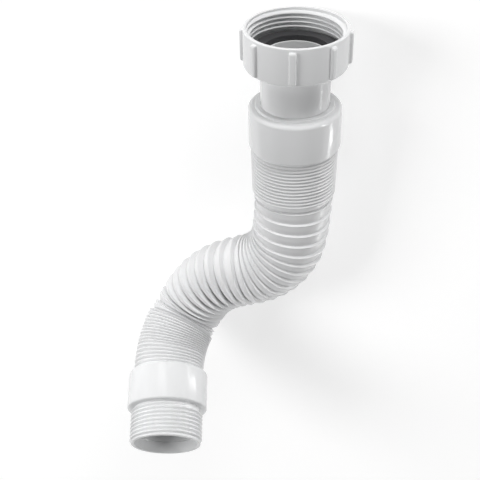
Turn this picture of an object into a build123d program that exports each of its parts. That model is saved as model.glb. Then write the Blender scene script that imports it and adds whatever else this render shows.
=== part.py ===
"""Flexible waste connector, lying at rest: nut, washer, tail, collar, bellows pipe and threaded outlet."""
import os
from math import cos, radians, sin

from build123d import *

# Coupling nut, for a G 1 1/2 parallel thread
nut_thread_minor_d = 44.85
nut_lead_step = 1.875
nut_lead_depth = 1.8
nut_rim_width = 1.75
nut_height = 19.2
nut_web = 2.7
nut_foot_round = 1.4
nut_mouth_chamfer = 0.5
thread_relief = 0.5
thread_relief_above_washer = 0.4
rib_count = 8
first_rib_angle = 83.0
rib_width = 4.0
rib_proud = 1.6
rib_setback = 0.8
rib_slope = 1.2

# Sealing washer
washer_thickness = 3.0
washer_bore_d = 32.6

# Flanged tail inside the nut
flange_thickness = 2.0
tail_top_d = 36.1
tail_foot_d = 35.3
tail_bore_d = 31.4
tail_showing = 21.1
tail_end_gap = 1.0

# Collar that locks the bellows on the tail
collar_d = 48.1
collar_length = 21.9
collar_web = 3.2
collar_round = 1.8
collar_foot_chamfer = 0.6
neck_ring_d = 40.5
neck_ring_height = 1.4

# Bellows pipe
crest_inlet_d = 46.1
crest_outlet_d = 41.5
cuff_wall = 2.6
outlet_cuff_length = 14.0

# Outlet tail, for a G 1 1/4 parallel thread
outlet_thread_d = 41.91
outlet_thread_length = 19.1
outlet_thread_chamfer = 1.2
outlet_groove_depth = 1.0
outlet_groove_width = 1.2
outlet_collar_d = 46.6
outlet_collar_length = 21.9
outlet_collar_round = 1.2
outlet_collar_chamfer = 1.5
outlet_bore_d = 33.8
outlet_mouth_d = 36.4
outlet_mouth_depth = 6.5

# Clearances
turning_gap = 0.4
seat_gap = 0.1
slack = 0.3

# How the hose lies: heading turns about +Z from +X, rise is above the horizontal, in degrees
inlet_heading = -90.0
inlet_rise = -4.9

# Seven stretches of the bellows, closed at both ends and drawn open between them. Each has its folds,
# its pitch, the depth of a fold, how far the crests are drawn in, the wall under a notch, the turn of the
# heading, the gain in rise, and the crest's place between its two notches, taken in turn
fold_counts = [15, 4, 8, 2, 5, 6, 14]
fold_pitches = [2.09, 6.72, 4.91, 5.95, 5.43, 3.73, 2.39]
fold_depths = [1.1, 1.4, 1.6, 2.2, 3.4, 2.6, 1.1]
crest_draw_ins = [0.0, 0.9, 0.9, 0.9, 0.9, 0.8, 0.0]
notch_walls = [3.6, 0.9, 0.9, 0.9, 0.9, 0.9, 3.6]
turn_angles = [0.8, -8.5, -62.9, 6.7, 31.9, 7.4, 48.2]
rise_angles = [4.1, -1.5, 2.6, -1.8, 4.1, 46.9, 9.2]
crest_shares = [(0.50,), (0.26,), (0.28,), (0.36,), (0.45,), (0.66, 0.34), (0.50,)]
closed_fold_depth = fold_depths[0]
closed_folds_per_bore_station = 3
fold_total = sum(fold_counts)

# Distance in from each face of a square corner to the middle of the arc that rounds it, per unit radius
mid_arc = 1 - cos(radians(45))


def station(point, heading, rise):
    """A plane across the pipe, its normal along the flow and its y direction on the upper side."""
    level = cos(radians(rise))
    flow = (level * cos(radians(heading)), level * sin(radians(heading)), sin(radians(rise)))
    side = (-sin(radians(heading)), cos(radians(heading)), 0)
    return Plane(origin=point, x_dir=side, z_dir=flow)


def axial_plane(across, angle=0.0):
    """A plane through the axis of a station, its x outwards at an angle and its y along the flow."""
    outward = across.x_dir * cos(radians(angle)) + across.y_dir * sin(radians(angle))
    return Plane(origin=across.origin, x_dir=outward, z_dir=outward.cross(across.z_dir))


def axis_of(across):
    """The pipe's axis at a station."""
    return Axis(across.origin, across.z_dir)


def crest_after(folds):
    """Radius of a closed crest that has this many folds before it."""
    return (crest_inlet_d + (crest_outlet_d - crest_inlet_d) * folds / fold_total) / 2


# Distances along the axis from the mouth of the nut
nut_minor_r = nut_thread_minor_d / 2
nut_lead_r = nut_minor_r + nut_lead_step
nut_r = nut_lead_r + nut_rim_width
flange_face = nut_height - nut_web - slack - flange_thickness
flange_back = flange_face + flange_thickness
washer_face = flange_face - washer_thickness
thread_foot = washer_face - thread_relief_above_washer
neck_face = nut_height + tail_showing
collar_face = neck_face + neck_ring_height
cuff_face = collar_face + collar_web
collar_foot = collar_face + collar_length
tail_end = collar_foot - tail_end_gap

mouth = station((0, 0, 0), inlet_heading, inlet_rise)
inlet_section = axial_plane(mouth)

# The walk along the bellows, fold by fold, from the foot of the collar
rings = [(mouth.offset(collar_foot), crest_after(0) - fold_depths[0])]
bore_rings = [(mouth.offset(collar_foot), crest_after(0) - fold_depths[0] - notch_walls[0])]
place = mouth.offset(collar_foot).origin
heading = inlet_heading
rise = inlet_rise
folds_done = 0
stretches = zip(
    fold_counts, fold_pitches, fold_depths, crest_draw_ins,
    notch_walls, turn_angles, rise_angles, crest_shares,
)
for folds, pitch, depth, draw_in, wall, turn, lift, shares in stretches:
    for fold in range(folds):
        crest_share = shares[fold % len(shares)]
        crest_r = crest_after(folds_done + 0.5) - draw_in
        for part_of_fold, radius in ((crest_share, crest_r), (1 - crest_share, crest_r - depth)):
            heading += turn / folds * part_of_fold / 2
            rise += lift / folds * part_of_fold / 2
            place = place + station(place, heading, rise).z_dir * pitch * part_of_fold
            heading += turn / folds * part_of_fold / 2
            rise += lift / folds * part_of_fold / 2
            rings.append((station(place, heading, rise), radius))
        folds_done += 1
        last_fold = fold == folds - 1
        if depth > closed_fold_depth or last_fold or (fold + 1) % closed_folds_per_bore_station == 0:
            bore_rings.append((rings[-1][0], crest_r - depth - wall))
outlet = rings[-1][0]
outlet_section = axial_plane(outlet)

# Coupling nut
nut_hole_r = tail_top_d / 2 + turning_gap
web_face = nut_height - nut_web
with BuildPart() as coupling_nut:
    with BuildSketch(inlet_section):
        with BuildLine():
            Polyline(
                (nut_lead_r, 0),
                (nut_r - nut_mouth_chamfer, 0),
                (nut_r, nut_mouth_chamfer),
                (nut_r, nut_height - nut_foot_round),
                (nut_r - nut_foot_round * mid_arc, nut_height - nut_foot_round * mid_arc),
                (nut_r - nut_foot_round, nut_height),
                (nut_hole_r, nut_height),
                (nut_hole_r, web_face),
                (nut_minor_r + thread_relief, web_face),
                (nut_minor_r + thread_relief, thread_foot),
                (nut_minor_r, thread_foot),
                (nut_minor_r, nut_lead_depth + nut_lead_step),
                (nut_lead_r, nut_lead_depth),
                close=True,
            )
        make_face()
    revolve(axis=axis_of(mouth))
    rib_r = nut_r + rib_proud
    for rib in range(rib_count):
        with BuildSketch(axial_plane(mouth, first_rib_angle + rib * 360 / rib_count)):
            with BuildLine():
                Polyline(
                    (nut_r - rib_proud, rib_setback),
                    (nut_r, rib_setback),
                    (rib_r, rib_setback + rib_slope),
                    (rib_r, nut_height - rib_setback - rib_slope),
                    (nut_r, nut_height - rib_setback),
                    (nut_r - rib_proud, nut_height - nut_foot_round),
                    close=True,
                )
            make_face()
        extrude(amount=rib_width / 2, both=True)
coupling_nut.part.label = "coupling_nut"

# Sealing washer, on the tail's flange and clear of the thread
with BuildPart() as sealing_washer:
    with BuildSketch(mouth.offset(washer_face)):
        Circle(nut_minor_r - slack)
        Circle(washer_bore_d / 2, mode=Mode.SUBTRACT)
    extrude(amount=washer_thickness)
sealing_washer.part.label = "sealing_washer"

# Flanged tail, with its lower end inside the bellows' cuff
tail_foot_r = tail_foot_d / 2
with BuildPart() as inlet_tail:
    with BuildSketch(inlet_section):
        with BuildLine():
            Polyline(
                (tail_bore_d / 2, flange_face),
                (nut_minor_r - slack, flange_face),
                (nut_minor_r - slack, flange_back),
                (tail_top_d / 2, flange_back),
                (tail_foot_r, neck_face),
                (tail_foot_r, tail_end),
                (tail_bore_d / 2, tail_end),
                close=True,
            )
        make_face()
    revolve(axis=axis_of(mouth))
inlet_tail.part.label = "inlet_tail"

# Collar: neck ring and web round the tail, then a sleeve over the bellows' cuff
cuff_r = tail_foot_r + seat_gap + cuff_wall
collar_r = collar_d / 2
with BuildPart() as inlet_collar:
    with BuildSketch(inlet_section):
        with BuildLine():
            Polyline(
                (tail_foot_r + seat_gap, neck_face),
                (neck_ring_d / 2, neck_face),
                (neck_ring_d / 2, collar_face),
                (collar_r - collar_round, collar_face),
                (collar_r - collar_round * mid_arc, collar_face + collar_round * mid_arc),
                (collar_r, collar_face + collar_round),
                (collar_r, collar_foot - collar_foot_chamfer),
                (collar_r - collar_foot_chamfer, collar_foot),
                (cuff_r + seat_gap, collar_foot),
                (cuff_r + seat_gap, cuff_face),
                (tail_foot_r + seat_gap, cuff_face),
                close=True,
            )
        make_face()
    revolve(axis=axis_of(mouth))
inlet_collar.part.label = "inlet_collar"

# Bellows pipe: folds lofted ring by ring, a cuff at each end, and one bore right through
outlet_cuff_r = outlet_bore_d / 2 + cuff_wall
with BuildPart() as bellows_pipe:
    for across, radius in rings:
        with BuildSketch(across):
            Circle(radius)
    loft(ruled=True)
    with BuildSketch(mouth.offset(cuff_face)):
        Circle(cuff_r)
    extrude(amount=collar_foot - cuff_face)
    with BuildSketch(outlet):
        Circle(outlet_cuff_r)
    extrude(amount=outlet_cuff_length)
    for across, radius in bore_rings:
        with BuildSketch(across):
            Circle(radius)
    loft(ruled=True, mode=Mode.SUBTRACT)
    with BuildSketch(mouth.offset(cuff_face)):
        Circle(tail_foot_r + seat_gap)
    extrude(amount=collar_foot - cuff_face, mode=Mode.SUBTRACT)
    with BuildSketch(outlet):
        Circle(bore_rings[-1][1])
    extrude(amount=outlet_cuff_length, mode=Mode.SUBTRACT)
bellows_pipe.part.label = "bellows_pipe"

# Outlet tail: collar over the cuff, a groove and the stub that carries the thread
outlet_collar_r = outlet_collar_d / 2
outlet_thread_r = outlet_thread_d / 2
thread_start = outlet_collar_length + outlet_groove_width
outlet_end = thread_start + outlet_thread_length
with BuildPart() as outlet_tail:
    with BuildSketch(outlet_section):
        with BuildLine():
            Polyline(
                (outlet_cuff_r + seat_gap, 0),
                (outlet_collar_r - outlet_collar_round, 0),
                (outlet_collar_r - outlet_collar_round * mid_arc, outlet_collar_round * mid_arc),
                (outlet_collar_r, outlet_collar_round),
                (outlet_collar_r, outlet_collar_length - outlet_collar_chamfer),
                (outlet_collar_r - outlet_collar_chamfer, outlet_collar_length),
                (outlet_thread_r - outlet_groove_depth, outlet_collar_length),
                (outlet_thread_r - outlet_groove_depth, thread_start),
                (outlet_thread_r, thread_start),
                (outlet_thread_r, outlet_end - outlet_thread_chamfer),
                (outlet_thread_r - outlet_thread_chamfer, outlet_end),
                (outlet_mouth_d / 2, outlet_end),
                (outlet_mouth_d / 2, outlet_end - outlet_mouth_depth),
                (outlet_bore_d / 2, outlet_end - outlet_mouth_depth),
                (outlet_bore_d / 2, outlet_cuff_length),
                (outlet_cuff_r + seat_gap, outlet_cuff_length),
                close=True,
            )
        make_face()
    revolve(axis=axis_of(outlet))
outlet_tail.part.label = "outlet_tail"

os.makedirs("parts", exist_ok=True)
export_step(coupling_nut.part, "parts/coupling_nut.step")
export_step(sealing_washer.part, "parts/sealing_washer.step")
export_step(inlet_tail.part, "parts/inlet_tail.step")
export_step(inlet_collar.part, "parts/inlet_collar.step")
export_step(bellows_pipe.part, "parts/bellows_pipe.step")
export_step(outlet_tail.part, "parts/outlet_tail.step")
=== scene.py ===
# %% [markdown]
# # A flexible waste connector, dressed for the camera
# This pipe joins a sink's waste to the pipework under it. A coupling nut screws on to the waste and
# pulls a rubber washer against a flanged tail. A collar holds the corrugated pipe on the tail. The
# pipe bends and stretches because its wall is folded like bellows, and it ends in a threaded
# outlet. The part lies on the floor as it comes to rest. The cells below build it piece by piece.

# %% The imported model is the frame
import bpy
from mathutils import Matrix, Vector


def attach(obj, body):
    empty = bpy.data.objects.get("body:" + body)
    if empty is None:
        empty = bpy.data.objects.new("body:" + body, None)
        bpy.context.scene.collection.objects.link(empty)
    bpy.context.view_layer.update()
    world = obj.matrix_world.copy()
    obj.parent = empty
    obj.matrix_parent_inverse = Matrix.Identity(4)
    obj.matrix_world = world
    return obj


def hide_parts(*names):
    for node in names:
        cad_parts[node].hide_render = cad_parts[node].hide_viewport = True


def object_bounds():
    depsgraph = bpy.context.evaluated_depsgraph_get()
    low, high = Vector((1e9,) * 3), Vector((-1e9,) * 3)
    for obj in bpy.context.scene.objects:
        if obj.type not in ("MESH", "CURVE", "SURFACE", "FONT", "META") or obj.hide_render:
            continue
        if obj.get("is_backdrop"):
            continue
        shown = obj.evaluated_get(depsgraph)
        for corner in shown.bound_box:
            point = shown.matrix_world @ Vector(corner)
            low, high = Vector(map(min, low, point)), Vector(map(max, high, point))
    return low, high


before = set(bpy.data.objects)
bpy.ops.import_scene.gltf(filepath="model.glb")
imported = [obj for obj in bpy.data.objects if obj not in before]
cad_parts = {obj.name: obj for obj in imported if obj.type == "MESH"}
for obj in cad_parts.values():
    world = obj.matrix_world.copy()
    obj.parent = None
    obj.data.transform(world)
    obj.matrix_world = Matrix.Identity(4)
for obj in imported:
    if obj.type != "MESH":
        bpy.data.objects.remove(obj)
cad_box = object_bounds()
print("nodes in the frame:", sorted(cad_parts))

# %% [markdown]
# ## Sizes
# Every size was measured in the photograph, comes from the part's two pipe threads, or is a guess
# where the photograph shows nothing. Sizes are in millimetres, as a plumber would write them, and
# `MM` turns them into Blender's metres. Those that several pieces share stand here. Lengths along
# the inlet are counted from the nut's mouth.

# %% Shared sizes and small helpers
from collections import namedtuple
from math import cos, pi, radians, sin

import bmesh
import bpy
from mathutils import Matrix, Vector

MM = 0.001
SAME_PLACE = 0.001

flange_r = 22.1
flange_face = 14.2
collar_top = 40.3
collar_foot = 63.6


def let_go():
    """Leaves edit mode and selects nothing, because an operator acts on all that is selected."""
    if bpy.context.mode != "OBJECT":
        bpy.ops.object.mode_set(mode="OBJECT")
    bpy.ops.object.select_all(action="DESELECT")


def take(piece):
    """Makes one piece the only selected and active one."""
    let_go()
    piece.select_set(True)
    bpy.context.view_layer.objects.active = piece


def pick_points(piece, wanted):
    """In edit mode, selects the points that a test accepts."""
    shape = bmesh.from_edit_mesh(piece.data)
    shape.verts.ensure_lookup_table()
    for point in shape.verts:
        point.select = wanted(point)
    shape.select_flush_mode()
    bmesh.update_edit_mesh(piece.data)


def is_at(point, spot):
    """Whether a point lies at a spot given in millimetres."""
    return (point.co / MM - spot).length < SAME_PLACE


def report(piece):
    """Prints how finely a piece is made and how large it is."""
    points, faces = len(piece.data.vertices), len(piece.data.polygons)
    box = [round(side / MM, 1) for side in piece.dimensions]
    print(f"{piece.name}: {points} points, {faces} faces, {box} mm")


print(f"flange {2 * flange_r} mm across, collar from {collar_top} to {collar_foot} mm")

# %% [markdown]
# ## Turning a piece
# Every piece here starts round. On a lathe you cut one outline and the spindle does the rest, so
# each is drawn as half an outline: distance from the axis and distance along it. Its corners are
# rounded with a bevel on points, and then the outline is spun round the axis. Every piece is turned
# on the bench, with its axis upright, and carried to its place on the pipe afterwards.

# %% Drawing, rounding and spinning an outline
def draw_outline(name, corners):
    """Draws a closed outline through corners given as (distance from the axis, along it)."""
    let_go()
    bpy.ops.mesh.primitive_plane_add(size=MM)
    piece = bpy.context.object
    piece.name = name
    piece.data.name = name
    bpy.ops.object.mode_set(mode="EDIT")
    bpy.ops.mesh.select_mode(type="VERT")
    bpy.ops.mesh.select_all(action="SELECT")
    bpy.ops.mesh.merge(type="CENTER")
    here = Vector((0, 0, 0))
    for number, (radius, along) in enumerate(corners):
        there = Vector((radius * MM, 0, along * MM))
        if number == 0:
            bpy.ops.transform.translate(value=there - here)
        else:
            bpy.ops.mesh.extrude_vertices_move(TRANSFORM_OT_translate={"value": there - here})
        here = there
    ends = [Vector((radius, 0, along)) for radius, along in (corners[0], corners[-1])]
    pick_points(piece, lambda point: any(is_at(point, end) for end in ends))
    bpy.ops.mesh.edge_face_add()
    return piece


def round_corners(piece, size, corners, segments=5):
    """Rounds some corners of the outline that is being drawn."""
    for radius, along in corners:
        corner = Vector((radius, 0, along))
        pick_points(piece, lambda point: is_at(point, corner))
        bpy.ops.mesh.bevel(offset=size * MM, segments=segments, affect="VERTICES")


def spin_outline(piece, steps=96):
    """Spins the outline once round the upright axis and closes the seam."""
    bpy.ops.mesh.select_all(action="SELECT")
    bpy.ops.mesh.spin(steps=steps, angle=2 * pi, center=(0, 0, 0), axis=(0, 0, 1))
    bpy.ops.mesh.select_all(action="SELECT")
    bpy.ops.mesh.remove_doubles(threshold=SAME_PLACE * MM)
    bpy.ops.mesh.normals_make_consistent(inside=False)
    bpy.ops.object.mode_set(mode="OBJECT")


def turn_by(piece, angle):
    """Turns a piece round the upright axis and leaves its object unturned."""
    take(piece)
    piece.rotation_euler.z = radians(angle)
    bpy.ops.object.transform_apply(location=False, rotation=True, scale=False)


def smooth(piece, angle=35):
    """Shades a piece smoothly and keeps the edges that are sharper than an angle."""
    take(piece)
    bpy.ops.object.shade_smooth_by_angle(angle=radians(angle))


# %% [markdown]
# ## The run of the pipe
# A bellows pipe holds whatever bend you give it. This one has a closed stretch at each end, where
# the folds are pushed together, and an open stretch between them. The table follows the pipe from
# the collar to the outlet, and its last two rows are the closed stretch at the outlet. Walking it
# fold by fold gives the pipe's middle line and the place of the outlet. The crests narrow evenly
# over the solid's folds, which are fewer in that last stretch than the folds here.

# %% The walk along the pipe
# Folds, pitch, turn, gain in rise, crest's place in its fold (taken in turn), depth, drawn in, kind
stretches = [
    (15, 2.09, 0.8, 4.1, (0.50,), 1.5, 0.0, "closed"),
    (4, 6.72, -8.5, -1.5, (0.26,), 1.4, 0.9, "leaning"),
    (8, 4.91, -62.9, 2.6, (0.28,), 1.6, 0.9, "leaning"),
    (2, 5.95, 6.7, -1.8, (0.36,), 2.2, 0.9, "toothed"),
    (5, 5.43, 31.9, 4.1, (0.45,), 3.4, 0.9, "toothed"),
    (6, 3.73, 7.4, 46.9, (0.66, 0.34), 2.6, 0.8, "paired"),
    (11, 1.72, 27.2, 5.2, (0.50,), 1.4, 0.0, "closed"),
    (6, 2.424, 21.0, 4.0, (0.50,), 1.5, 0.0, "closed"),
]
outlet_rows = 2
solid_outlet_folds = 14
inlet_heading, inlet_rise = -90.0, -4.9
crest_inlet_r, crest_outlet_r = 23.045, 20.75
Fold = namedtuple("Fold", "crest_at end_at crest_r depth pitch lean kind")


def flow_at(heading, rise):
    """The direction of the flow at a heading and a rise in degrees."""
    level = cos(radians(rise))
    return Vector((
        level * cos(radians(heading)), level * sin(radians(heading)), sin(radians(rise)),
    ))


def bench_to(place, heading, rise):
    """The move that carries a piece from the bench to a place on the pipe."""
    flow = flow_at(heading, rise)
    side = Vector((-sin(radians(heading)), cos(radians(heading)), 0))
    turned = Matrix((side, flow.cross(side), flow)).transposed().to_4x4()
    return Matrix.Translation(place * MM) @ turned


heading, rise = inlet_heading, inlet_rise
place = flow_at(heading, rise) * collar_foot
middle_line = [place]
folds = []
pipe_length = 0.0
earlier_folds = sum(row[0] for row in stretches[:-outlet_rows])
outlet_folds = sum(row[0] for row in stretches[-outlet_rows:])
solid_share = solid_outlet_folds / outlet_folds
for count, pitch, turn, lift, leans, depth, drawn_in, kind in stretches:
    for number in range(count):
        lean = leans[number % len(leans)]
        passed = len(folds) + 0.5
        if passed > earlier_folds:
            passed = earlier_folds + (passed - earlier_folds) * solid_share
        share = passed / (earlier_folds + solid_outlet_folds)
        crest_r = crest_inlet_r + (crest_outlet_r - crest_inlet_r) * share - drawn_in
        for part in (lean, 1 - lean):
            half_turn, half_lift = turn / count * part / 2, lift / count * part / 2
            heading, rise = heading + half_turn, rise + half_lift
            place = place + flow_at(heading, rise) * pitch * part
            heading, rise = heading + half_turn, rise + half_lift
            middle_line.append(place)
        crest_at = pipe_length + pitch * lean
        pipe_length += pitch
        folds.append(Fold(crest_at, pipe_length, crest_r, depth, pitch, lean, kind))
inlet_move = bench_to(Vector((0, 0, 0)), inlet_heading, inlet_rise)
outlet_move = bench_to(place, heading, rise)
outlet_start = [round(side, 1) for side in place]
print(f"{len(folds)} folds, {pipe_length:.1f} mm of bellows, outlet starts at {outlet_start}")


def lay(piece, move):
    """Carries a finished piece from the bench to its place, and leaves its object at the origin."""
    take(piece)
    piece.matrix_world = move
    bpy.ops.object.transform_apply(location=True, rotation=True, scale=True)
    report(piece)


# %% [markdown]
# ## Threads
# A thread is a ridge that climbs one pitch in each turn. It could be cut into the wall with a
# boolean, but a ridge laid on the wall is cleaner: the section of one tooth is drawn and the Screw
# modifier winds it up. A moulded thread doesn't stop dead. It sinks into the wall over the last
# part of its turn, so the end sections are shrunk towards the wall one after the other.

# %% Winding a thread
thread_pitch = 2.309
thread_sunk = 0.35
thread_half_foot, thread_half_crest = 0.49 * thread_pitch, 0.13 * thread_pitch
thread_foot_step = 0.08
thread_crest_round = 0.28
thread_steps = 64
run_out_steps = 12
run_out_start = 0.3


def wind_thread(name, root_r, crest_r, start, turns, begins_at=0):
    """Winds a closed ridge round the upright axis, on a wall of radius root_r."""
    side = 1 if crest_r > root_r else -1
    foot_r = root_r - side * thread_sunk
    low, high = start - thread_half_foot, start + thread_half_foot
    corners = [
        (foot_r, low), (root_r, low + thread_foot_step), (crest_r, start - thread_half_crest),
        (crest_r, start + thread_half_crest), (root_r, high - thread_foot_step), (foot_r, high),
    ]
    ridge = draw_outline(name, corners)
    round_corners(ridge, thread_crest_round, corners[2:4], segments=2)
    bpy.ops.object.mode_set(mode="OBJECT")
    section = len(ridge.data.vertices)
    screw = ridge.modifiers.new("winding", "SCREW")
    screw.axis = "Z"
    screw.angle = 2 * pi
    screw.screw_offset = thread_pitch * MM
    screw.iterations = turns
    screw.steps = screw.render_steps = thread_steps
    screw.use_smooth_shade = False
    take(ridge)
    bpy.ops.object.modifier_apply(modifier=screw.name)
    bpy.ops.object.mode_set(mode="EDIT")
    last = thread_steps * turns
    for step in range(run_out_steps):
        share = (step + run_out_start) / run_out_steps
        for ring in (step, last - step):
            wall_angle = 2 * pi * ring / thread_steps
            wall_z = start + thread_pitch * ring / thread_steps
            on_wall = Vector((foot_r * cos(wall_angle), foot_r * sin(wall_angle), wall_z)) * MM
            pick_points(ridge, lambda point: point.index // section == ring)
            bpy.ops.transform.resize(value=(share, share, share), center_override=on_wall)
    bpy.ops.mesh.select_all(action="SELECT")
    bpy.ops.mesh.fill_holes(sides=0)
    bpy.ops.mesh.select_all(action="SELECT")
    bpy.ops.mesh.normals_make_consistent(inside=False)
    bpy.ops.object.mode_set(mode="OBJECT")
    turn_by(ridge, begins_at)
    return ridge


def join_to(piece, *others):
    """Joins pieces that are moulded in one."""
    take(piece)
    for other in others:
        other.select_set(True)
    bpy.ops.object.join()


# %% [markdown]
# ## Coupling nut
# The nut is a short cup. Its mouth has a plain lead-in, then the thread, and its foot is a web that
# pulls on the tail's flange. The cup is turned, and the thread is wound on its inner wall.

# %% Nut cup and thread
nut_r, nut_height = 26.05, 19.2
nut_lead_r, nut_lead_end = 24.3, 1.6
nut_thread_crest_r, nut_thread_root_r, nut_root_from = 22.425, 23.9, 2.0
nut_web_r, nut_web_face = 18.45, 16.5
nut_corners = [
    (nut_lead_r, 0.0), (nut_r, 0.0), (nut_r, nut_height), (nut_web_r, nut_height),
    (nut_web_r, nut_web_face), (nut_thread_root_r, nut_web_face),
    (nut_thread_root_r, nut_root_from), (nut_lead_r, nut_lead_end),
]
nut = draw_outline("nut", nut_corners)
round_corners(nut, 0.25, nut_corners[:1])
round_corners(nut, 0.5, nut_corners[1:2])
round_corners(nut, 1.4, nut_corners[2:3], segments=8)
round_corners(nut, 0.5, nut_corners[3:4])
spin_outline(nut)
nut_thread = wind_thread(
    "nut_thread", nut_thread_root_r, nut_thread_crest_r, start=1.8, turns=4, begins_at=150,
)
report(nut)
report(nut_thread)

# %% [markdown]
# ## Ribs of the nut
# Eight ribs give the hand or a spanner something to hold. One is shaped from a block: its outer
# face is made smaller, so that it slopes back, and its edges are rounded. Then it is copied, each
# copy with its own mesh, and the copies are turned round the nut.

# %% Nut ribs
rib_count, first_rib_angle = 8, 83
rib_width, rib_proud, rib_top, rib_foot = 3.9, 1.595, 0.85, 18.5
rib_slope, rib_narrowing, rib_round = 0.9, 0.86, 0.9

rib_length = rib_foot - rib_top
rib_middle = (nut_r * MM, 0, (rib_top + rib_length / 2) * MM)
let_go()
bpy.ops.mesh.primitive_cube_add(size=1, location=rib_middle)
rib = bpy.context.object
rib.name = "nut_rib"
rib.scale = (2 * rib_proud * MM, rib_width * MM, rib_length * MM)
bpy.ops.object.transform_apply(location=True, rotation=True, scale=True)
bpy.ops.object.mode_set(mode="EDIT")
bpy.ops.mesh.select_mode(type="VERT")
pick_points(rib, lambda point: point.co.x / MM > nut_r)
outer_size = (1, rib_narrowing, 1 - 2 * rib_slope / rib_length)
bpy.ops.transform.resize(value=outer_size, center_override=rib_middle)
bpy.ops.object.mode_set(mode="OBJECT")
edge = rib.modifiers.new("soft_edges", "BEVEL")
edge.width = rib_round * MM
edge.segments = 6
take(rib)
bpy.ops.object.modifier_apply(modifier=edge.name)
report(rib)

ribs = [rib]
for _ in range(rib_count - 1):
    take(rib)
    bpy.ops.object.duplicate()
    ribs.append(bpy.context.object)
for number, copied in enumerate(ribs):
    turn_by(copied, first_rib_angle + number * 360 / rib_count)
join_to(nut, nut_thread, *ribs)
smooth(nut)
lay(nut, inlet_move)
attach(nut, "nut")
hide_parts("coupling_nut")

# %% [markdown]
# ## Sealing washer
# A flat ring of black rubber that the nut squeezes on the flange. Sharp corners would catch no
# light, so the two in front are rounded, as on every moulded ring.

# %% Washer
washer_bore_r, washer_face = 16.3, 11.2
washer_corners = [
    (washer_bore_r, washer_face), (flange_r, washer_face),
    (flange_r, flange_face), (washer_bore_r, flange_face),
]
washer = draw_outline("washer", washer_corners)
round_corners(washer, 0.35, washer_corners[:2])
spin_outline(washer)
smooth(washer)
lay(washer, inlet_move)
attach(washer, "hose")
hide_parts("sealing_washer")

# %% [markdown]
# ## Flanged tail
# The tail is a tube with a flange that the nut turns on. Moulded tubes taper a little so that they
# leave the mould, and the part between the nut and the collar shows it.

# %% Tail
tail_bore_r, tail_top_r, tail_foot_r = 15.7, 18.05, 17.65
flange_back, tail_end = 16.2, 62.6
tail_corners = [
    (tail_bore_r, flange_face), (flange_r, flange_face), (flange_r, flange_back),
    (tail_top_r, flange_back), (tail_foot_r, collar_top), (tail_foot_r, tail_end),
    (tail_bore_r, tail_end),
]
tail = draw_outline("tail", tail_corners)
round_corners(tail, 0.3, tail_corners[:3])
spin_outline(tail)
smooth(tail)
lay(tail, inlet_move)
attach(tail, "hose")
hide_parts("inlet_tail")

# %% [markdown]
# ## Collar
# The collar slides over the tail and clips the pipe's cuff on it. A low ring stands round the tail,
# the top edge is well rounded, and the foot has a small edge where the mould closed.

# %% Collar
collar_bore_r, collar_r = 17.75, 24.05
neck_ring_r, neck_ring_foot = 20.25, 41.7
cuff_seat_r, cuff_seat_top = 20.45, 44.9
collar_corners = [
    (collar_bore_r, collar_top), (neck_ring_r, collar_top), (neck_ring_r, neck_ring_foot),
    (collar_r, neck_ring_foot), (collar_r, collar_foot), (cuff_seat_r, collar_foot),
    (cuff_seat_r, cuff_seat_top), (collar_bore_r, cuff_seat_top),
]
collar = draw_outline("collar", collar_corners)
round_corners(collar, 0.45, collar_corners[1:2])
round_corners(collar, 0.3, collar_corners[2:3])
round_corners(collar, 2.0, collar_corners[3:4], segments=8)
round_corners(collar, 0.6, collar_corners[4:5])
spin_outline(collar)
smooth(collar)
lay(collar, inlet_move)
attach(collar, "hose")
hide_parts("inlet_collar")

# %% [markdown]
# ## Folds of the bellows pipe
# Each open fold is a band that bulges: a short steep ledge faces the nut, and behind its crest
# stands a thin lip, from which the band falls slowly into the next notch. In the lower bend the
# folds stand open like teeth and then in pairs, and pushed together only rounded ridges show. The
# folds are drawn in one straight outline and spun. The bore is drawn in the same outline, because
# an offset of the wall would cross itself in the narrow folds.

# %% The outline of the folds
# By the kind of fold: a ledge's reach, the power that makes a band bulge, and the wall to the bore
ledges = {"leaning": 0.45, "toothed": 1.1, "paired": 1.0, "closed": 0.7}
bulges = {"leaning": 1.9, "toothed": 2.0, "paired": 1.3, "closed": 1.9}
bore_walls = {"leaning": 0.9, "toothed": 0.9, "paired": 0.9, "closed": 3.6}
# A band's points, as shares of its length
band_steps = [0.1, 0.25, 0.4, 0.55, 0.7, 0.82, 0.92]
# A round ridge's points: share of the pitch away from its crest, share of its depth above the notch
ridge_side = [(0.38, 0.42), (0.27, 0.74), (0.13, 0.95)]
# A crest's points on the side of its ledge: how far before the crest, how far below it
crest_edge = [(0.22, 0.38), (0.1, 0.12), (-0.05, 0.0)]
lip_edge_drop, lip_edge_width = 0.03, 0.14
lip_drop, lip_width = 0.32, 0.42
pair_edge_drop, pair_edge_width = 0.35, 0.3
pair_dip = 0.85
notch_rise, notch_width = 0.12, 0.08


def ridge_points(fold, rising):
    """One side of a closed fold's round ridge."""
    side = -1 if rising else 1
    points = [
        (fold.crest_r - fold.depth * (1 - up), fold.crest_at + side * fold.pitch * away)
        for away, up in ridge_side
    ]
    return points if rising else points[::-1]


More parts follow.
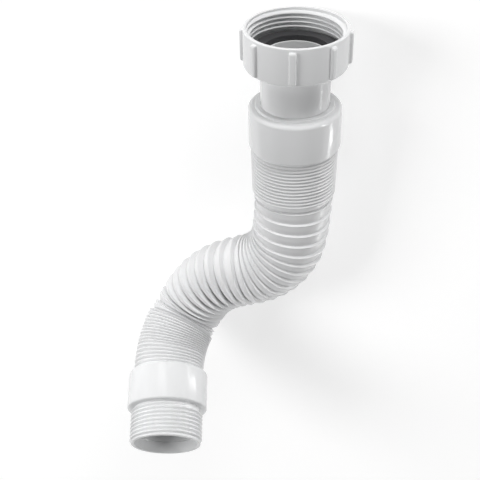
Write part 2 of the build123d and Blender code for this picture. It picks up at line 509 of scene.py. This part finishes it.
def band_points(fold, following):
    """The wall from one crest to the next: the falling band, the notch and the ledge."""
    middle = (fold.crest_at + following.crest_at) / 2
    lower_r = min(fold.crest_r, following.crest_r)
    if fold.kind == following.kind == "closed":
        notch = (lower_r - fold.depth, middle)
        crest = (following.crest_r, following.crest_at)
        return [*ridge_points(fold, False), notch, *ridge_points(following, True), crest]
    edge = [(following.crest_r - down, following.crest_at - back) for back, down in crest_edge]
    if fold.kind == following.kind == "paired" and following.lean < fold.lean:
        pair_edge = (fold.crest_r - pair_edge_drop, fold.crest_at + pair_edge_width)
        return [pair_edge, (fold.crest_r - pair_dip, middle), *edge]
    notch_r = lower_r - (fold.depth if following.kind == "closed" else following.depth)
    notch_at = following.crest_at - ledges[following.kind]
    lip_r, lip_at = fold.crest_r - lip_drop, fold.crest_at + lip_width
    points = [(fold.crest_r - lip_edge_drop, fold.crest_at + lip_edge_width), (lip_r, lip_at)]
    for share in band_steps:
        fall = (lip_r - notch_r) * share ** bulges[following.kind]
        points.append((lip_r - fall, lip_at + (notch_at - lip_at) * share))
    notch_foot = (notch_r + notch_rise, notch_at + notch_width)
    return [*points, (notch_r, notch_at), notch_foot, *edge]


# %% The straight pipe
inlet_cuff_r, outlet_cuff_r, inlet_bore_r = 20.3, 19.4, 17.8
cuff_tuck = 3.0
end_notch = 1.1
cuff_end, notch_end = 0.02, 0.05

# The last closed ridge at the inlet is left out, where the first open band begins
crests = list(folds)
del crests[stretches[0][0] - 1]
first, last = crests[0], crests[-1]
pipe_outline = [
    (inlet_cuff_r, -cuff_tuck), (inlet_cuff_r, cuff_end), (first.crest_r - end_notch, notch_end),
    *ridge_points(first, True), (first.crest_r, first.crest_at),
]
for fold, following in zip(crests, crests[1:]):
    pipe_outline += band_points(fold, following)
pipe_outline += [
    *ridge_points(last, False), (last.crest_r - end_notch, pipe_length - notch_end),
    (outlet_cuff_r, pipe_length), (outlet_cuff_r, pipe_length + cuff_tuck),
]
bore_line = [(inlet_bore_r, -cuff_tuck), (inlet_bore_r, 0.0)]
bore_line += [(fold.crest_r - fold.depth - bore_walls[fold.kind], fold.end_at) for fold in folds]
bore_line.append((bore_line[-1][0], pipe_length + cuff_tuck))
bellows = draw_outline("bellows", pipe_outline + bore_line[::-1])
spin_outline(bellows, steps=80)
print(f"{len(crests)} crests")
report(bellows)

# %% [markdown]
# ## Bending the pipe
# The straight pipe could be bent ring by ring, but a Curve modifier does it in one go, along the
# middle line. It spreads the folds outside a bend and squeezes them inside it, as the real pipe
# does. The line runs on past both ends, so that the cuffs inside the collars have a line too.

# %% The bend
overrun = 5
first_flow = (middle_line[1] - middle_line[0]).normalized()
last_flow = (middle_line[-1] - middle_line[-2]).normalized()
line_points = [
    middle_line[0] - first_flow * overrun, *middle_line, middle_line[-1] + last_flow * overrun,
]
line_data = bpy.data.curves.new("middle_line", "CURVE")
line_data.dimensions = "3D"
spline = line_data.splines.new("POLY")
spline.points.add(len(line_points) - 1)
for point, spot in zip(spline.points, line_points):
    point.co = (*(spot * MM), 1)
line = bpy.data.objects.new("middle_line", line_data)
bpy.context.collection.objects.link(line)
take(bellows)
bellows.location.z = overrun * MM
bpy.ops.object.transform_apply(location=True, rotation=False, scale=False)
bend = bellows.modifiers.new("bend", "CURVE")
bend.object = line
bend.deform_axis = "POS_Z"
bpy.ops.object.modifier_apply(modifier=bend.name)
bpy.data.objects.remove(line)
smooth(bellows, angle=42)
report(bellows)
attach(bellows, "hose")
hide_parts("bellows_pipe")

# %% [markdown]
# ## Threaded outlet
# The outlet is clipped over the pipe's other cuff. Its collar ends in a rounded edge, and the stub
# beyond carries the thread that a fitting's nut screws on to. Past the thread stands a plain lip,
# and inside the mouth there is a step.

# %% Outlet
outlet_collar_r, outlet_collar_length, outlet_end = 23.3, 21.9, 42.2
outlet_seat_r, outlet_seat_end = 19.6, 14.0
stub_root_r, stub_crest_r, stub_end = 19.45, 20.955, 41.0
outlet_lip_r, outlet_lip_start = 20.1, 41.4
mouth_r, mouth_step, outlet_bore_r = 18.2, 35.7, 16.9
outlet_corners = [
    (outlet_seat_r, 0.0), (outlet_collar_r, 0.0), (outlet_collar_r, outlet_collar_length),
    (stub_root_r, outlet_collar_length), (stub_root_r, stub_end),
    (outlet_lip_r, outlet_lip_start), (outlet_lip_r, outlet_end), (mouth_r, outlet_end),
    (mouth_r, mouth_step), (outlet_bore_r, mouth_step), (outlet_bore_r, outlet_seat_end),
    (outlet_seat_r, outlet_seat_end),
]
outlet = draw_outline("outlet", outlet_corners)
round_corners(outlet, 1.2, outlet_corners[1:2], segments=6)
round_corners(outlet, 1.1, outlet_corners[2:3], segments=6)
round_corners(outlet, 0.5, outlet_corners[6:7])
round_corners(outlet, 0.4, outlet_corners[7:8])
spin_outline(outlet)
outlet_thread = wind_thread("outlet_thread", stub_root_r, stub_crest_r, start=23.15, turns=8)
join_to(outlet, outlet_thread)
smooth(outlet)
lay(outlet, outlet_move)
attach(outlet, "hose")
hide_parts("outlet_tail")

# %% [markdown]
# ## Finishes
# The pipe is white polypropylene. Up close it is never one flat colour: tone and gloss change
# softly where the plastic flowed in the mould, and the surface waves by a few thousandths of a
# millimetre. All of it comes from noise in the object's own coordinates, so it stays on the part
# when it moves. The washer is matt rubber.

# %% Helpers for materials
def node(tree, kind, inputs=None, **values):
    """Adds a node, and sets its inputs and its own settings."""
    made = tree.nodes.new(kind)
    for name, value in (inputs or {}).items():
        made.inputs[name].default_value = value
    for name, value in values.items():
        setattr(made, name, value)
    return made


def start_finish(name):
    """A new material, with its tree, its shader and the object's own coordinates."""
    finish = bpy.data.materials.new(name)
    finish.use_nodes = True
    tree = finish.node_tree
    spots = node(tree, "ShaderNodeTexCoord").outputs["Object"]
    return finish, tree, tree.nodes["Principled BSDF"], spots


def noise(tree, spots, inputs):
    """Noise in the object's own coordinates."""
    made = node(tree, "ShaderNodeTexNoise", inputs)
    tree.links.new(spots, made.inputs["Vector"])
    return made.outputs["Fac"]


def tint(tree, shader, share, dark, light):
    """Colours the shader between two tones."""
    tone = node(tree, "ShaderNodeValToRGB")
    tone.color_ramp.elements[0].color = (*dark, 1)
    tone.color_ramp.elements[1].color = (*light, 1)
    tree.links.new(share, tone.inputs["Fac"])
    tree.links.new(tone.outputs["Color"], shader.inputs["Base Color"])


def wave(tree, shader, height, strength, distance):
    """Tips the surface as waves would whose height is given in millimetres."""
    bump = node(tree, "ShaderNodeBump", {"Strength": strength, "Distance": distance * MM})
    tree.links.new(height, bump.inputs["Height"])
    tree.links.new(bump.outputs["Normal"], shader.inputs["Normal"])


# %% White plastic and rubber
plastic_ior = 1.49
darkest_share = 0.965


def white_plastic(name, colour, roughness):
    """Moulded polypropylene."""
    finish, tree, shader, spots = start_finish(name)
    shader.inputs["IOR"].default_value = plastic_ior
    cloud = noise(tree, spots, {"Scale": 38, "Detail": 3})
    tint(tree, shader, cloud, [part * darkest_share for part in colour], colour)
    ends = {"To Min": roughness - 0.04, "To Max": roughness + 0.05}
    sheen = node(tree, "ShaderNodeMapRange", ends)
    tree.links.new(cloud, sheen.inputs["Value"])
    tree.links.new(sheen.outputs["Result"], shader.inputs["Roughness"])
    wave(tree, shader, noise(tree, spots, {"Scale": 260}), strength=0.12, distance=0.006)
    return finish


def rubber_finish(name):
    """Matt black rubber with a fine grain."""
    finish, tree, shader, spots = start_finish(name)
    shader.inputs["Roughness"].default_value = 0.5
    grain = noise(tree, spots, {"Scale": 900})
    tint(tree, shader, grain, (0.04, 0.04, 0.042), (0.065, 0.065, 0.068))
    wave(tree, shader, grain, strength=0.3, distance=0.01)
    return finish


moulded_white = white_plastic("moulded_white", (0.86, 0.865, 0.87), roughness=0.15)
pipe_white = white_plastic("pipe_white", (0.86, 0.862, 0.868), roughness=0.24)
black_rubber = rubber_finish("black_rubber")
for piece, finish in (
    (nut, moulded_white), (tail, moulded_white), (collar, moulded_white),
    (outlet, moulded_white), (bellows, pipe_white), (washer, black_rubber),
):
    piece.data.materials.clear()
    piece.data.materials.append(finish)
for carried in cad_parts.values():
    carried.data.materials.clear()
    carried.data.materials.append(moulded_white)
print("finishes:", [finish.name for finish in (moulded_white, pipe_white, black_rubber)])

# %% [markdown]
# ## Camera
# The picture looks down on the pipe from beyond the nut, with the nut at the top of the frame. The
# camera stands where the rims' ellipses and the widths of the rings say, with a moderately long
# lens.

# %% Camera
camera_place = Vector((68.9, 132.4, 393.5))
camera_right = Vector((0.97128, -0.00328, -0.23767))
camera_up = Vector((-0.1249, 0.84386, -0.5219))
camera_back = Vector((0.20229, 0.5366, 0.81924))
let_go()
bpy.ops.object.camera_add()
camera = bpy.context.object
camera.name = "photo_camera"
camera.matrix_world = (
    Matrix.Translation(camera_place * MM)
    @ Matrix((camera_right, camera_up, camera_back)).transposed().to_4x4()
)
camera.data.sensor_width = 36
camera.data.lens = 63.75
camera.data.clip_start = 0.01
camera.data.clip_end = 20
bpy.context.scene.camera = camera
print("camera at", [round(side * MM, 3) for side in camera_place])

# %% [markdown]
# ## Floor
# The picture is a studio cut-out on white, with only a faint shadow left. Lamps that made the floor
# that bright would burn out the pipe, so the floor shows the camera and the reflections a whiter
# face, which glows. Every other ray meets a plain matt floor, and the part isn't lit more for it.

# %% Floor
def grey(value):
    return (value, value, value, 1)


floor_level = cad_box[0].z
let_go()
bpy.ops.mesh.primitive_plane_add(size=12, location=(0, 0, floor_level))
floor = bpy.context.object
floor.name = "floor"
paint = bpy.data.materials.new("floor_white")
paint.use_nodes = True
tree = paint.node_tree
link = tree.links.new
tree.nodes.remove(tree.nodes["Principled BSDF"])
matt = node(tree, "ShaderNodeBsdfDiffuse", {"Color": grey(0.8)})
seen = node(tree, "ShaderNodeBsdfDiffuse", {"Color": grey(0.55)})
glow = node(tree, "ShaderNodeEmission", {"Color": grey(1), "Strength": 0.62})
both = node(tree, "ShaderNodeAddShader")
link(seen.outputs["BSDF"], both.inputs[0])
link(glow.outputs["Emission"], both.inputs[1])
path = node(tree, "ShaderNodeLightPath")
either = node(tree, "ShaderNodeMath", operation="MAXIMUM")
link(path.outputs["Is Camera Ray"], either.inputs[0])
link(path.outputs["Is Glossy Ray"], either.inputs[1])
mix = node(tree, "ShaderNodeMixShader")
link(either.outputs["Value"], mix.inputs["Fac"])
link(matt.outputs["BSDF"], mix.inputs[1])
link(both.outputs["Shader"], mix.inputs[2])
link(mix.outputs["Shader"], tree.nodes["Material Output"].inputs["Surface"])
floor.data.materials.append(paint)
floor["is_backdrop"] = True
print(f"floor at {floor_level / MM:.1f} mm")

# %% [markdown]
# ## Light
# A key stands high on the left, a low lamp beyond the nut lights the ledges of the folds, another
# beyond the outlet fills their bands, and a narrow one on the right is seen in the gloss. The thin
# bright lines on the collar and the outlet come from two strips on the floor. The strips and the
# last lamp beyond the nut show in the gloss only, so they add lines and no light. Places and sizes
# are in metres, and powers in watts.

# %% Lights
look_at = Vector((-0.03, -0.12, 0.0))
strip_above_floor = 0.5 * MM


def panel(name, place, width, height, power, in_gloss=True, in_matt=True):
    """A softbox that faces the part."""
    let_go()
    bpy.ops.object.light_add(type="AREA", location=place)
    lamp = bpy.context.object
    lamp.name = name
    lamp.data.shape = "RECTANGLE"
    lamp.data.size = width
    lamp.data.size_y = height
    lamp.data.energy = power
    lamp.visible_camera = False
    lamp.visible_glossy = in_gloss
    lamp.visible_diffuse = in_matt
    lamp.rotation_euler = (look_at - Vector(place)).to_track_quat("-Z", "Y").to_euler()
    return lamp


def highlight(name, place, length, width, angle, power):
    """A strip on the floor that shows only in the gloss, as a thin line down a round piece."""
    spot = (*place, floor_level + strip_above_floor)
    strip = panel(name, spot, length, width, power, in_matt=False)
    strip.rotation_euler = (pi, 0, radians(angle))


panel("key_on_the_left", (-1.4, 0.25, 1.05), 0.8, 0.8, 18, in_gloss=False)
panel("beyond_the_nut", (0.3, 1.95, 0.6), 1.4, 0.4, 29, in_gloss=False)
panel("beyond_the_outlet", (0.0, -2.2, 0.5), 1.4, 0.4, 14, in_gloss=False)
panel("right_panel", (1.8, -0.12, 0.25), 0.8, 0.4, 10)
highlight("line_on_the_collar", (0.098, -0.099), 0.036, 0.017, -27, 0.014)
highlight("line_on_the_outlet", (0.103, -0.137), 0.12, 0.036, 56.7, 0.07)
panel("sheen_beyond_the_nut", (-0.5, 2.0, 0.4), 0.9, 0.5, 2.5, in_matt=False)
world = bpy.data.worlds.new("studio")
bpy.context.scene.world = world
world.use_nodes = True
backdrop = world.node_tree.nodes["Background"]
backdrop.inputs["Color"].default_value = grey(1)
backdrop.inputs["Strength"].default_value = 0.11
bpy.context.scene.view_settings.view_transform = "Standard"

# %% [markdown]
# ## Last look
# The dressed part is meant to fill the same box as the plain solids it stands for. Both boxes are
# printed so that they can be compared.

# %% Boxes and finish
shown_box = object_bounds()
boxes = {"cad": [list(corner) for corner in cad_box], "visual": [list(corner) for corner in shown_box]}
for name, box in boxes.items():
    print(name, [[round(v / MM, 1) for v in corner] for corner in box])
